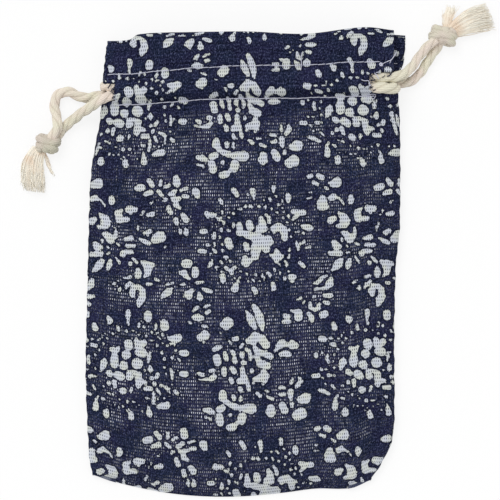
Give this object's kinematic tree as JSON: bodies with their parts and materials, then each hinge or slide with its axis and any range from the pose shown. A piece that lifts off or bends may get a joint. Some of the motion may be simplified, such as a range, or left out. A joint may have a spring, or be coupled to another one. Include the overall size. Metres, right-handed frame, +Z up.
{
  "type": "drawstring pouch",
  "caption": "Small flat drawstring pouch of coarse printed cotton with a frilled mouth, a stitched cord channel and two knotted cotton drawcords.",
  "frame": {"origin": "on the surface it lies on, under the middle of the cloth", "axes": "+Y from the bottom fold to the mouth, +Z up, away from the surface, with the front panel on top"},
  "size_m": [0.1509, 0.1575, 0.0148],
  "materials": {
    "pouch_fabric": "coarse plain-weave cotton, navy with a pale floral print on its outer face",
    "sewing_thread": "pale spun sewing thread",
    "drawcord_cotton": "soft three-strand natural cotton cord"
  },
  "bodies": {
    "root": {"pouch_cloth": "pouch_fabric", "stitch_front_upper": "sewing_thread", "stitch_front_lower": "sewing_thread", "stitch_back_upper": "sewing_thread", "stitch_back_lower": "sewing_thread", "seam_thread_left": "sewing_thread", "seam_thread_right": "sewing_thread", "drawcord_left": "drawcord_cotton", "drawcord_right": "drawcord_cotton", "knot_left": "drawcord_cotton", "knot_right": "drawcord_cotton"}
  },
  "joints": []
}
